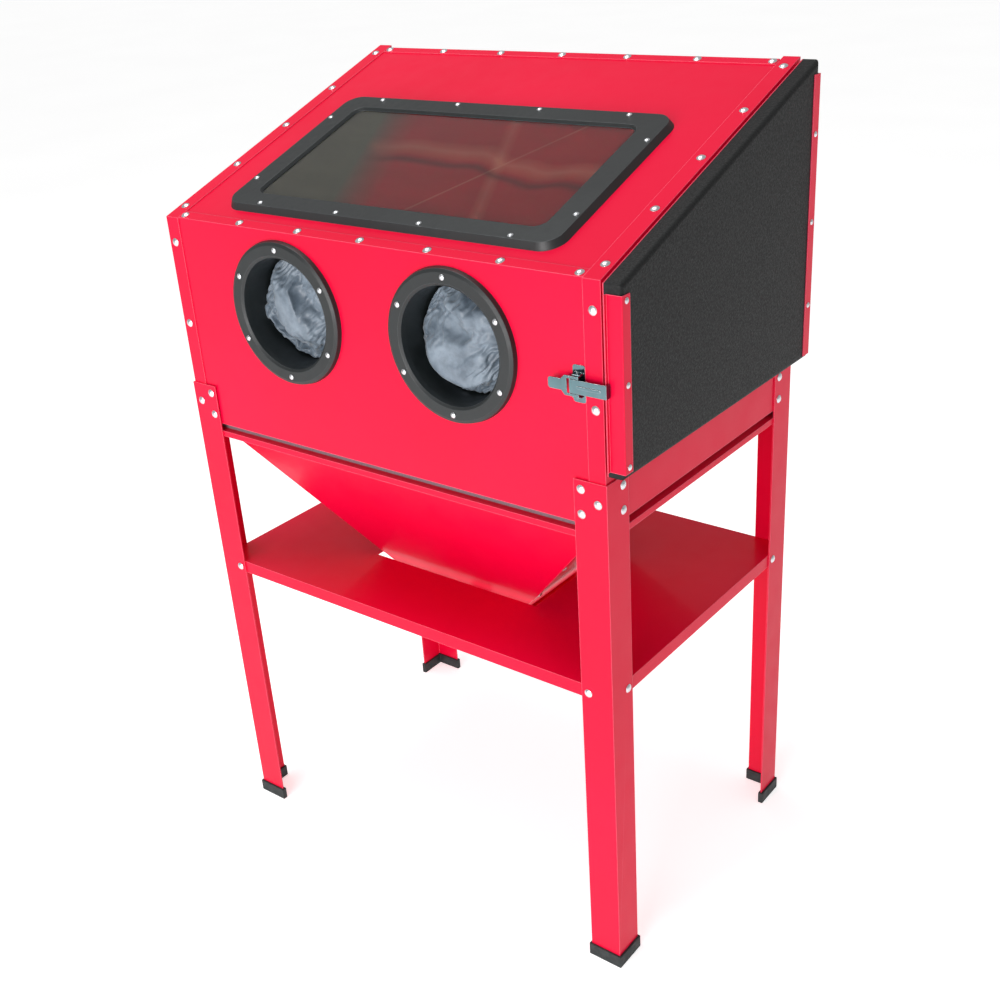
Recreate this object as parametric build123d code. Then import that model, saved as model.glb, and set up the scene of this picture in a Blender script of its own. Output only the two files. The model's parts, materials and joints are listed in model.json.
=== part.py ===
from build123d import *
from math import atan2, cos, radians, sin, tan
import os

# Floor-standing sandblast cabinet with a slanted window, arm ports, a side door and a hopper.
#
# The cabinet stands on four angle legs. The front faces -Y, the door is on +X, +Z is up and the
# floor is z = 0. Everything is drawn about the middle of the legs and moved once, at export, so
# that the origin lies at the middle of the bottom of the bounding box.

os.makedirs("parts", exist_ok=True)

# ---------------------------------------------------------------- driving dimensions, mm
width = 850.0            # over the legs, in x
depth = 556.0            # over the legs, in y
front_height = 1164.5    # floor to the front edge of the slanted top
slope = 19.4             # degrees that the top rises towards the back
body_low = 809.0         # lower edge of the cabinet body
sheet = 1.5              # body, hopper and shelf sheet
fold = 28.0              # side panel flanges folded over the front, top and back
inner_fold = 22.0        # flanges folded in under the body

leg_size = 55.0          # leg angle, each flange
leg_sheet = 2.5
leg_top = 878.0
foot_height = 22.0
foot_wall = 3.5
foot_floor = 4.0

shelf_top = 538.0
shelf_lip = 22.5
shelf_hole_x = 177.0     # half size of the cut-out round the hopper
shelf_hole_y = 129.0

rim_top = 796.0          # top of the hopper's rim
rim_lip = 10.0
hopper_top_x = 395.0     # half sizes of the hopper at its rim
hopper_top_y = 254.0
hopper_waist_z = 540.0   # the hopper passes the shelf here
hopper_waist_x = 162.0
hopper_waist_y = 119.0
hopper_low = 474.0       # mouth of the hopper

window_half_x = 278.0    # sight opening, along the slope from s_low to s_high
window_s_low = 84.5
window_s_high = 348.0
frame_face_x = 43.0      # width of the window frame's face at the sides
frame_face_s = 36.5      # and at the front and back
frame_high = 9.5         # frame face above the top's outer surface
frame_draft = 6.0        # how far the frame widens down to the panel
glass_edge = 18.0        # glass hidden under the frame
glass_thick = 4.0

port_x = 166.5           # arm ports
port_z = 1036.0
ring_radius = 116.0
ring_mouth = 89.5
ring_thick = 10.0
ring_screw_radius = 102.4
collar_depth = 60.0
collar_wall = 3.5

door_out = 454.0         # outer face of the door shell
door_in = 425.5          # inner face of the door
door_low = 892.0
door_drop = 3.0          # the door's slanted edge lies this far under the body's
door_wall = 3.0
strip_sheet = 1.5
strip_width = 19.0       # strips on the door's outer face
aperture_margin = 38.0   # door opening in from the frame's edges

hinge_x = 424.5
hinge_radius = 3.2
hinge_pin_radius = 1.6
hinge_gap = 0.3
knuckle_count = 13
knuckle_low = 900.0
knuckle_high = 1334.0

latch_z = 1018.5
latch_x = 384.5          # middle of the latch's base plate

bolt_head = 6.8          # M6 domed bolts
bolt_rise = 3.4
bolt_hole = 3.3
bolt_shank = 3.0
screw_head = 4.4         # M4 pan screws
screw_rise = 2.4
screw_hole = 2.2
screw_shank = 1.9

port_collar_radius = 31.5    # dust outlet for a 63 mm hose
port_collar_length = 60.0

# ---------------------------------------------------------------- planes worked out from them
leg_x = width / 2
leg_y = depth / 2
side_x = leg_x - leg_sheet            # outer faces of the side panels
face_y = leg_y - leg_sheet            # outer faces of the front and back flanges
panel_y = face_y - sheet              # outer face of the front panel under the flanges
top_run = 2 * face_y
slope_length = top_run / cos(radians(slope))
rear_height = front_height + top_run * tan(radians(slope))
rise = tan(radians(slope))
top_plane = Plane(origin=(0, -face_y, front_height), x_dir=(1, 0, 0),
                  z_dir=(0, -sin(radians(slope)), cos(radians(slope))))
hinge_y = face_y + hinge_radius

# the box that everything fits in: legs, door and hinge in x, arm rings and dust collar in y
foot_out = foot_wall + leg_x
latch_out = 13.3
front_limit = panel_y + ring_thick + screw_rise
latch_limit = panel_y + sheet + latch_out
back_panel_y = panel_y - 6.5          # the field of the back panel is pressed in by 6.5
back_limit = back_panel_y + port_collar_length
shift_x = -((door_out + strip_sheet + screw_rise) - foot_out) / 2
shift_y = (max(front_limit, latch_limit) - back_limit) / 2


def z_on_top(y, drop=0.0):
    """Height of the slanted top's outer surface at y, or of a line a little under it."""
    return front_height + (y + face_y) * rise - drop / cos(radians(slope))


def on_top(x, s, n=0.0):
    """Point on the slanted top: x across, s up the slope from its front edge, n outward."""
    return top_plane.from_local_coords(Vector(x, s, n))


def block(x, y, z):
    """Box from its three (low, high) pairs."""
    size = (x[1] - x[0], y[1] - y[0], z[1] - z[0])
    middle = ((x[0] + x[1]) / 2, (y[0] + y[1]) / 2, (z[0] + z[1]) / 2)
    return Pos(*middle) * Box(*size)


def top_block(x, s, n):
    """Box in the slanted top's own frame."""
    return top_plane.location * block(x, s, n)


def prism_x(points, low, high):
    """Outline of (y, z) points, extruded along x from low to high."""
    plane = Plane(origin=(low, 0, 0), x_dir=(0, 1, 0), z_dir=(1, 0, 0))
    outline = make_face(Polyline(*points, close=True))
    return extrude(plane.location * outline, amount=high - low, dir=(1, 0, 0))


def rod(start, end, radius):
    """Cylinder from one point to another."""
    axis = Vector(*end) - Vector(*start)
    plane = Plane(origin=start, z_dir=axis)
    return extrude(plane.location * Circle(radius), amount=axis.length)


def domed_bolt(head, rise_, shank, length):
    """Domed head over z = 0 with a shank below it, as one turned solid."""
    edge = 0.5
    crown = (head * head + (rise_ - edge) ** 2) / (2 * (rise_ - edge))
    middle = (head / 2, rise_ - crown + (crown * crown - head * head / 4) ** 0.5)
    dome = ThreePointArc((head, edge), middle, (0, rise_))
    stem = Polyline((0, rise_), (0, -length), (shank, -length), (shank, 0), (head, 0), (head, edge))
    return revolve(Plane.XZ.location * make_face(dome + stem), Axis.Z)


def facing(point, outward):
    """Location at a point, with its z axis pointing outward."""
    return Plane(origin=point, z_dir=outward).location


def fasten(places, master):
    """One compound with a copy of the master fastener at each place."""
    return Compound(children=[place * master for place in places])


def drill(part, places, radius, reach=12.0):
    """Clearance holes through a part wherever a fastener's place lies close to it."""
    bounds = part.bounding_box()
    low = bounds.min - Vector(reach, reach, reach)
    high = bounds.max + Vector(reach, reach, reach)
    for place in places:
        point = place.position
        if all(a <= b <= c for a, b, c in zip(low, point, high)):
            part = part - place * (Pos(0, 0, -reach / 2) * Rot(0, 0, 37) * Cylinder(radius, reach + 2))
    return part


# ---------------------------------------------------------------- fastener places
row_x = [-385.0 + 770.0 * i / 6 for i in range(7)]
fold_bolt = 15.5                      # bolt line in from the outer faces
front_strip = 20.0
back_edge_s = (back_panel_y + face_y) / cos(radians(slope))
back_strip = 16.5
side_rows = [34.0 + 129.9 * i for i in range(5)]
up = top_plane.z_dir

top_bolts = [facing(on_top(x, front_strip / 2), up) for x in row_x]
top_bolts += [facing(on_top(x, back_edge_s - back_strip / 2), up) for x in row_x]
for side in (-1, 1):
    top_bolts += [facing(on_top(side * (leg_x - fold_bolt), s), up) for s in side_rows]

front_bolts = [facing((side * (leg_x - fold_bolt), -face_y, z), (0, -1, 0))
               for side in (-1, 1) for z in (1123.0, 985.0)]

leg_bolts = []
for side in (-1, 1):
    for x, z in ((43.0, 864.0), (43.0, 825.5), (15.0, 846.0)):
        leg_bolts.append(facing((side * (leg_x - x), -leg_y, z), (0, -1, 0)))
    for z in (864.0, 825.5):
        leg_bolts.append(facing((side * leg_x, -(leg_y - 41.0), z), (side, 0, 0)))
        leg_bolts.append(facing((side * leg_x, leg_y - 41.0, z), (side, 0, 0)))
        leg_bolts.append(facing((side * (leg_x - 15.0), leg_y, z), (0, 1, 0)))

shelf_bolt_z = 526.0
shelf_bolts = []
for side in (-1, 1):
    for way in (-1, 1):
        shelf_bolts.append(facing((side * (leg_x - 43.0), way * leg_y, shelf_bolt_z), (0, way, 0)))
        shelf_bolts.append(facing((side * leg_x, way * (leg_y - 43.0), shelf_bolt_z), (side, 0, 0)))

bolt_places = top_bolts + front_bolts + leg_bolts + shelf_bolts

hopper_bolt_heights = [755.0, 656.0, 557.0]
hopper_flange = 17.0     # flanges of the front and back sheets, over the side sheets
hopper_bolt_in = 8.0     # from the seam to the screws in them
flange_face = 3.7        # outer faces of the flanges and of the sheets, out from the inside
sheet_face = 1.8
hopper_lean_x = (hopper_top_x - hopper_waist_x) / (rim_top - hopper_waist_z)
hopper_lean_y = (hopper_top_y - hopper_waist_y) / (rim_top - hopper_waist_z)


def half_sizes(z):
    """Inner half sizes of the hopper at a height, on its straight flared sides."""
    return (hopper_waist_x + hopper_lean_x * (z - hopper_waist_z),
            hopper_waist_y + hopper_lean_y * (z - hopper_waist_z))


hopper_places = []
for side in (-1, 1):
    for way in (-1, 1):
        for z in hopper_bolt_heights:
            x, y = half_sizes(z)
            hopper_places.append(facing((side * (x + flange_face), way * (y - hopper_bolt_in), z),
                                        (side, 0, -hopper_lean_x)))

window_screw_x = [-246.0 + 164.0 * i for i in range(4)]
window_places = [facing(on_top(x, s, frame_high), up) for s in (55.0, 377.5) for x in window_screw_x]
window_places += [facing(on_top(x, s, frame_high), up) for x in (-313.5, 313.5) for s in (119.0, 313.0)]

ring_face_y = -(panel_y + ring_thick)
ring_places = []
for side in (-1, 1):
    for i in range(6):
        turn = radians(60.0 * i)
        point = (side * port_x + ring_screw_radius * sin(turn), ring_face_y,
                 port_z + ring_screw_radius * cos(turn))
        ring_places.append(facing(point, (0, -1, 0)))

front_angle_low = 900.5
front_angle_high = 1148.0
hinge_strip_low = 898.0
hinge_strip_high = 1336.0
door_face = door_out + strip_sheet
angle_screw_y = -(face_y - 9.0)
hinge_screw_y = face_y - 9.0
door_places = [facing((door_face, angle_screw_y, z), (1, 0, 0)) for z in (1140.0, 1026.0, 909.0)]
door_places += [facing((door_face, hinge_screw_y, z), (1, 0, 0)) for z in (1249.0, 1115.5, 982.0)]

nodes = {}


# ---------------------------------------------------------------- cabinet body
def side_profile():
    """Outline of a side panel in (y, z)."""
    return [(-face_y, body_low), (face_y, body_low), (face_y, rear_height), (-face_y, front_height)]


def side_panel(side):
    """Side sheet with flanges folded in over the front, the slanted top, the back and below."""
    outer = side * side_x
    inner = side * (side_x - sheet)
    folded = side * (side_x - fold)
    wall = prism_x(side_profile(), min(outer, inner), max(outer, inner))
    across = (min(outer, folded), max(outer, folded))
    front_rim = prism_x([(-face_y, body_low), (-panel_y, body_low), (-panel_y, z_on_top(-panel_y)),
                         (-face_y, front_height)], *across)
    back_rim = prism_x([(panel_y, body_low), (face_y, body_low), (face_y, rear_height),
                        (panel_y, z_on_top(panel_y))], *across)
    top_rim = top_block(across, (0, slope_length), (-sheet, 0))
    top_rim &= block(across, (-face_y, face_y), (body_low, rear_height))
    low_end = side * (side_x - inner_fold)
    low_rim = block((min(outer, low_end), max(outer, low_end)), (-panel_y + sheet, panel_y - sheet),
                    (body_low, body_low + sheet))
    return wall + front_rim + back_rim + top_rim + low_rim


def door_outline(margin):
    """(y, z) outline of the door opening, in from the side panel's edges by a margin."""
    return [(-face_y + margin, door_low + margin), (face_y - margin, door_low + margin),
            (face_y - margin, z_on_top(face_y - margin, margin)),
            (-face_y + margin, z_on_top(-face_y + margin, margin))]


def body():
    """Sides, front, back and slanted top, each a folded sheet."""
    inside_x = side_x - sheet
    mid_x = side_x - fold
    left = side_panel(-1)
    opening = prism_x(door_outline(aperture_margin), inside_x - 1, side_x + 1)
    corners = opening.edges().filter_by(Axis.X)
    right = side_panel(1) - fillet(corners, 18)

    # the front sheet runs under the side flanges; its top flange lies between them
    inner_y = panel_y - sheet
    front = prism_x([(-panel_y, body_low), (-inner_y, body_low),
                     (-inner_y, z_on_top(-inner_y, 2 * sheet)),
                     (-panel_y, z_on_top(-panel_y, 2 * sheet))], -inside_x, inside_x)
    front += prism_x([(-panel_y, 1100), (-inner_y, 1100), (-inner_y, z_on_top(-inner_y, sheet / 2)),
                      (-panel_y, z_on_top(-panel_y))], -mid_x, mid_x)
    front += top_block((-mid_x, mid_x), (sheet, front_strip), (-sheet, 0))
    low_x = side_x - inner_fold
    front += block((-low_x, low_x), (-panel_y, -panel_y + inner_fold), (body_low, body_low + sheet))
    for side in (-1, 1):
        hole = rod((side * port_x, -panel_y - 5, port_z), (side * port_x, -inner_y + 5, port_z),
                   ring_mouth + collar_wall + 0.5)
        front -= hole

    # the back sheet's field is pressed in; its top flange folds forward over the slanted panel
    field = back_panel_y - sheet
    ledge_x = mid_x - sheet
    back = block((-ledge_x, ledge_x), (field, back_panel_y), (body_low, z_on_top(back_panel_y) - 3))
    back += prism_x([(field, 1300), (back_panel_y, 1300), (back_panel_y, z_on_top(back_panel_y)),
                     (field, z_on_top(field))], -ledge_x, ledge_x)
    back_cut = top_block((-width, width), (0, 2 * slope_length), (0, 200))
    back -= back_cut
    for side in (-1, 1):
        wall = (min(side * ledge_x, side * (ledge_x - sheet)), max(side * ledge_x, side * (ledge_x - sheet)))
        edge = (min(side * ledge_x, side * inside_x), max(side * ledge_x, side * inside_x))
        back += block(wall, (field, panel_y), (body_low, z_on_top(field, 2 * sheet)))
        back += block(edge, (inner_y, panel_y), (body_low, z_on_top(inner_y, 2 * sheet)))
    back += top_block((-ledge_x, ledge_x), (back_edge_s - back_strip, back_edge_s - 0.2), (-sheet, 0))
    back += block((-ledge_x, ledge_x), (field, back_panel_y), (body_low, body_low + sheet))
    back += block((-low_x, low_x), (panel_y - inner_fold, back_panel_y), (body_low, body_low + sheet))
    collar_hole = rod((outlet_x, field - 5, outlet_z), (outlet_x, back_panel_y + 5, outlet_z),
                      port_collar_radius - 2.0)
    inlet_hole = rod((inlet_x, field - 5, inlet_z), (inlet_x, back_panel_y + 5, inlet_z), 8.2)
    back = back - collar_hole - inlet_hole

    # the slanted panel lies under every flange and carries the window
    top_end = (field + face_y) / cos(radians(slope)) - 1.5
    top = top_block((-inside_x, inside_x), (5.0, top_end), (-2 * sheet, -sheet))
    sight = (window_half_x - 10, window_s_low + 10, window_s_high - 10)
    top -= top_block((-sight[0], sight[0]), (sight[1], sight[2]), (-10, 10))

    return {"left_side_panel": left, "right_side_frame": right, "front_panel": front,
            "back_panel": back, "window_panel": top}


# ---------------------------------------------------------------- hopper
def frustum(grow_x, grow_y, low, high):
    """Flared block of the hopper's inside, grown sideways."""
    faces = []
    for z in (low, high):
        x, y = half_sizes(z)
        faces.append(Pos(0, 0, z) * Rectangle(2 * (x + grow_x), 2 * (y + grow_y)))
    return loft(faces, ruled=True)


def hopper():
    """Four sloping sheets, the rim they hang from and the gasket over it.

    The front and back sheets have flanges folded over the outside of the side sheets."""
    high = rim_top - sheet
    flange_low = shelf_top + 4
    flange_high = rim_top - rim_lip - 8
    found = {}
    sides = frustum(sheet_face, -0.05, hopper_low, high) - frustum(0, 3, hopper_low, high)
    found["hopper_left"] = sides & block((-width, 0), (-depth, depth), (hopper_low, high))
    face = frustum(sheet_face, sheet_face, hopper_low, high) - frustum(sheet_face + 2, 0, hopper_low, high)
    face &= block((-width, width), (0, depth), (hopper_low, high))
    wrap = frustum(flange_face, sheet_face, flange_low, flange_high)
    wrap -= frustum(sheet_face + 0.1, sheet_face + 2, flange_low, flange_high)
    wrap &= block((-width, width), (0, depth), (hopper_low, high))
    wrap -= frustum(width, -hopper_flange, flange_low, flange_high)
    fold_over = frustum(flange_face, sheet_face, flange_low, flange_high)
    fold_over -= frustum(flange_face + 2, 0, flange_low, flange_high)
    fold_over &= block((-width, width), (0, depth), (hopper_low, high))
    wrap = drill(wrap, hopper_places, screw_hole, 5.0)
    found["hopper_back"] = face + fold_over + wrap

    outer = block((-side_x, side_x), (-face_y, face_y), (rim_top - rim_lip, rim_top))
    hollow = block((-side_x + sheet, side_x - sheet), (-face_y + sheet, face_y - sheet),
                   (rim_top - rim_lip - 1, rim_top - sheet))
    mouth = block((-hopper_top_x, hopper_top_x), (-hopper_top_y, hopper_top_y), (700, 900))
    found["hopper_rim"] = outer - hollow - mouth

    seal = block((-hopper_top_x - 13, hopper_top_x + 13), (-hopper_top_y - 8, hopper_top_y + 8),
                 (rim_top, body_low))
    found["hopper_gasket"] = seal - block((-hopper_top_x - 1, hopper_top_x + 1),
                                          (-hopper_top_y, hopper_top_y), (700, 900))
    return found


# ---------------------------------------------------------------- clean-out at the hopper's mouth
trap_hinge_z = hopper_low - 15.0
trap_knuckle = 4.0
trap_sheet = 3.0
trap_gap = 0.4


def clean_out():
    """Collar round the hopper's mouth and a drop door that hangs on a pin at its back edge."""
    x, y = half_sizes(hopper_low)
    low = hopper_low - 8.0
    outer_x, outer_y = x + 14.0, y + 14.0
    collar = block((-outer_x, outer_x), (-outer_y, outer_y), (low, hopper_low))
    collar -= block((-x + 2, x - 2), (-y + 2, y - 2), (low - 1, hopper_low + 1))
    hinge_back = outer_y + trap_knuckle + 1.0
    lugs = []
    for side in (-1, 1):
        lug = block((side * 60 - 8, side * 60 + 8), (outer_y - 6, hinge_back), (trap_hinge_z, hopper_low))
        lug += rod((side * 60 - 8, hinge_back, trap_hinge_z), (side * 60 + 8, hinge_back, trap_hinge_z),
                   trap_knuckle)
        lugs.append(lug)
    collar = collar + lugs
    collar -= rod((-90, hinge_back, trap_hinge_z), (90, hinge_back, trap_hinge_z), 2.05)
    door_top = low - trap_gap
    door = block((-outer_x, outer_x), (-outer_y, outer_y - 8), (door_top - trap_sheet, door_top))
    door += block((-outer_x, outer_x), (-outer_y - 3, -outer_y), (door_top - 12, door_top))
    handle = block((-22, 22), (-outer_y - 25, -outer_y - 1), (door_top - 12, door_top - 9))
    door += fillet(handle.edges().filter_by(Axis.Z), 8)
    span = (-50, 50)
    door += block(span, (outer_y - 20, hinge_back), (door_top - trap_sheet, door_top))
    door += block(span, (hinge_back - trap_knuckle, hinge_back), (trap_hinge_z, door_top))
    door += rod((span[0], hinge_back, trap_hinge_z), (span[1], hinge_back, trap_hinge_z), trap_knuckle)
    door -= rod((-90, hinge_back, trap_hinge_z), (90, hinge_back, trap_hinge_z), 2.05)
    pin = rod((-72, hinge_back, trap_hinge_z), (72, hinge_back, trap_hinge_z), 2.0)
    return {"clean_out_collar": collar, "clean_out_door": door, "clean_out_pin": pin}


# ---------------------------------------------------------------- legs, feet and shelf
def corner_angle(side, way, low, high, grow=0.0):
    """Angle section at one corner, its two flanges along the cabinet's faces."""
    size = leg_size + grow
    thick = leg_sheet + grow
    ends_x = (side * (leg_x + grow), side * (leg_x - size))
    ends_y = (way * (leg_y + grow), way * (leg_y - thick))
    flat = block((min(ends_x), max(ends_x)), (min(ends_y), max(ends_y)), (low, high))
    ends_x = (side * (leg_x + grow), side * (leg_x - thick))
    ends_y = (way * (leg_y + grow), way * (leg_y - size))
    return flat + block((min(ends_x), max(ends_x)), (min(ends_y), max(ends_y)), (low, high))


def stand():
    """Four legs in rubber boots, and the shelf tray between them."""
    found = {}
    for way, end in ((-1, "front"), (1, "rear")):
        for side, hand in ((-1, "left"), (1, "right")):
            leg = corner_angle(side, way, foot_floor, leg_top)
            found[f"leg_{end}_{hand}"] = leg
            boot = corner_angle(side, way, 0, foot_height, foot_wall)
            boot = fillet(boot.edges().filter_by(Axis.Z), 1.5)
            boot = chamfer(boot.faces().sort_by(Axis.Z)[-1].edges(), 0.8)
            found[f"foot_{end}_{hand}"] = boot - corner_angle(side, way, foot_floor, foot_height + 1)
    tray = block((-side_x, side_x), (-face_y, face_y), (shelf_top - shelf_lip, shelf_top))
    tray -= block((-side_x + sheet, side_x - sheet), (-face_y + sheet, face_y - sheet),
                  (shelf_top - shelf_lip - 1, shelf_top - sheet))
    tray -= block((-shelf_hole_x, shelf_hole_x), (-shelf_hole_y, shelf_hole_y), (500, 600))
    found["shelf"] = tray
    return found


# ---------------------------------------------------------------- window
def window_rectangle(grow_x, grow_s, radius, n):
    """Rounded rectangle round the sight opening, in the slanted top's plane at height n."""
    middle = (window_s_low + window_s_high) / 2
    size_x = 2 * (window_half_x + grow_x)
    size_s = window_s_high - window_s_low + 2 * grow_s
    return top_plane.location * (Pos(0, middle, n) * RectangleRounded(size_x, size_s, radius))


def window():
    """Moulded frame, glass, protective film and the seal they are clamped on."""
    foot = window_rectangle(frame_face_x + frame_draft, frame_face_s + frame_draft, 34, -sheet)
    face = window_rectangle(frame_face_x, frame_face_s, 28, frame_high)
    frame = loft([foot, face])
    sight_low = window_rectangle(0, 0, 16, 5.0)
    sight_high = window_rectangle(4, 4, 20, frame_high + 0.01)
    frame -= loft([sight_low, sight_high])
    pocket = window_rectangle(glass_edge + 0.5, glass_edge + 0.5, 6, -sheet - 1)
    frame -= extrude(pocket, amount=1 + sheet + 5.0, dir=up)
    seal = extrude(window_rectangle(glass_edge, glass_edge, 5, -sheet), amount=2.0, dir=up)
    seal -= extrude(window_rectangle(-6, -6, 5, -sheet - 1), amount=5.0, dir=up)
    film = extrude(window_rectangle(glass_edge, glass_edge, 5, 0.5), amount=0.5, dir=up)
    glass = extrude(window_rectangle(glass_edge, glass_edge, 5, 1.0), amount=glass_thick, dir=up)
    return {"window_frame": frame, "window_seal": seal, "window_film": film, "window_glass": glass}


# ---------------------------------------------------------------- arm ports and gloves
def arm_ring():
    """Moulded ring and collar, turned about its own axis; z is inward from the front panel."""
    out = -ring_thick
    inner = ring_mouth - 3.0
    outline = Polyline((ring_mouth + 4, out), (ring_radius - 7, out), (ring_radius - 2, out + 2.5),
                       (ring_radius, 0), (ring_mouth + collar_wall, 0),
                       (inner + collar_wall, 12), (inner + collar_wall, collar_depth),
                       (inner, collar_depth),
                       (ring_mouth - 1, 2), (ring_mouth, out + 3), (ring_mouth + 4, out))
    return revolve(Plane.XZ.location * make_face(outline), Axis.Z)


glove_start = 6.0        # the sleeve's fold begins this far inside the panel
glove_radius = 84.0      # inside the collar
cuff_radius = 92.5       # the cuff turned back over the collar's inner end
cuff_gap = 0.3
glove_wall = 3.0
sleeve_length = 190.0
hand_length = 150.0


def glove():
    """Hollow sleeve, cuffed over the collar, that tapers to a mitten; z is inward from the panel."""
    turn = collar_depth + cuff_gap
    wrist = glove_start + sleeve_length
    wrist_radius = 58.0
    cuff_inner = ring_mouth - 3.0 + collar_wall + cuff_gap
    inner = glove_radius - glove_wall
    outline = [(0, wrist), (wrist_radius, wrist), (glove_radius, turn + glove_wall),
               (cuff_radius, turn + glove_wall), (cuff_radius, collar_depth - 20),
               (cuff_inner, collar_depth - 20), (cuff_inner, turn), (glove_radius, turn),
               (glove_radius, glove_start), (inner, glove_start), (inner, turn + glove_wall),
               (wrist_radius - glove_wall, wrist - glove_wall), (0, wrist - glove_wall)]
    sleeve = revolve(Plane.XZ.location * make_face(Polyline(*outline, close=True)), Axis.Z)
    palm = Pos(0, 0, wrist + hand_length / 2 - 2) * Box(104, 46, hand_length)
    palm = fillet(palm.edges(), 20)
    return sleeve + palm


def arm_ports():
    """A ring and a glove for each arm, and the two clamp bands."""
    found = {}
    bands = []
    for side, hand in ((-1, "left"), (1, "right")):
        place = Plane(origin=(side * port_x, -panel_y, port_z), x_dir=(1, 0, 0), z_dir=(0, 1, 0)).location
        found[f"arm_ring_{hand}"] = place * arm_ring()
        found[f"glove_{hand}"] = place * glove()
        band_radius = cuff_radius + 0.1
        band = Cylinder(band_radius + 1.0, 12) - Cylinder(band_radius, 13)
        band += Pos(band_radius + 5.5, 0, 0) * (Box(10, 9, 8) - Rot(90, 0, 0) * Cylinder(1.6, 12))
        bands.append(place * (Pos(0, 0, collar_depth - 10) * band))
    found["glove_clamps"] = Compound(children=bands)
    return found


# ---------------------------------------------------------------- door
def door_profile(inset):
    """(y, z) outline of the door, in from its edges by an inset."""
    back = face_y - 0.5 - inset
    front = -face_y + inset
    return [(front, door_low + inset), (back, door_low + inset),
            (back, z_on_top(back, door_drop + inset)), (front, z_on_top(front, door_drop + inset))]


def knuckle_spans(own):
    """Heights of every other hinge knuckle, those of the body (0) or of the door (1)."""
    pitch = (knuckle_high - knuckle_low) / knuckle_count
    spans = []
    for i in range(knuckle_count):
        if i % 2 == own:
            low = knuckle_low + i * pitch + hinge_gap
            spans.append((low, low + pitch - 2 * hinge_gap))
    return spans


def hinge_leaf(own, plate, side):
    """Plate with knuckles towards the hinge axis, on one side of it."""
    leaf = plate
    for low, high in knuckle_spans(own):
        ends = (hinge_x, hinge_x + side * (hinge_radius + 0.4))
        leaf += block((min(ends), max(ends)), (face_y, face_y + strip_sheet), (low, high))
        leaf += rod((hinge_x, hinge_y, low), (hinge_x, hinge_y, high), hinge_radius)
    return leaf - rod((hinge_x, hinge_y, knuckle_low - 5), (hinge_x, hinge_y, knuckle_high + 5),
                      hinge_pin_radius + 0.05)


def door():
    """Moulded shell on an inner sheet, with a latch angle, a hinge strip and a seal."""
    shell = prism_x(door_profile(0), door_in + sheet, door_out)
    outer_face = shell.faces().sort_by(Axis.X)[-1]
    shell = fillet(outer_face.edges(), 7.0)
    shell -= prism_x(door_profile(door_wall), door_in, door_out - door_wall)
    inner = prism_x(door_profile(0), door_in, door_in + sheet)

    # latch angle: a flange on the shell's front face, a strip on its outer face, a rolled lip
    front = face_y + strip_sheet
    lip_x = 430.0
    angle = block((lip_x, door_face), (-front, -face_y), (front_angle_low, front_angle_high))
    angle += block((door_out, door_face), (-front, -front + strip_width),
                   (front_angle_low, front_angle_high))
    angle = fillet(angle.edges().filter_by(Axis.Z).sort_by(Axis.X)[-2:].sort_by(Axis.Y)[:1], 1.4)
    angle += block((lip_x, lip_x + strip_sheet), (-front - 5.0, -face_y),
                   (front_angle_low, front_angle_high))

    # hinge strip: round the shell's rear edge, with the door's knuckles on its end
    clear = hinge_x + hinge_radius + 0.4
    strip = block((clear, door_face), (face_y - 0.5, face_y + strip_sheet - 0.5),
                  (hinge_strip_low, hinge_strip_high))
    strip += block((door_out, door_face), (face_y + 1.0 - strip_width, face_y + 1.0),
                   (hinge_strip_low, hinge_strip_high))
    strip = hinge_leaf(1, strip, 1)
    seal_outer = prism_x(door_outline(14.0), side_x, door_in - 0.3)
    seal = seal_outer - prism_x(door_outline(aperture_margin - 4.0), side_x - 1, door_in + 1)

    leaf = block((hinge_x - 26.0, hinge_x - hinge_radius - 0.4), (face_y, face_y + strip_sheet),
                 (hinge_strip_low, hinge_strip_high))
    leaf = hinge_leaf(0, leaf, -1)
    pin = rod((hinge_x, hinge_y, knuckle_low - 2), (hinge_x, hinge_y, knuckle_high + 2),
              hinge_pin_radius)
    return {"door_shell": shell, "door_inner_panel": inner, "door_latch_angle": angle,
            "door_hinge_strip": strip, "door_seal": seal, "body_hinge_leaf": leaf, "hinge_pin": pin}


# ---------------------------------------------------------------- toggle latch
latch_pivot = (387.0, -(panel_y + 9.0))      # lever to base
hook_pivot = (379.0, -(panel_y + 8.0))       # hook to lever, just over centre when closed
latch_pin = 1.8


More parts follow.
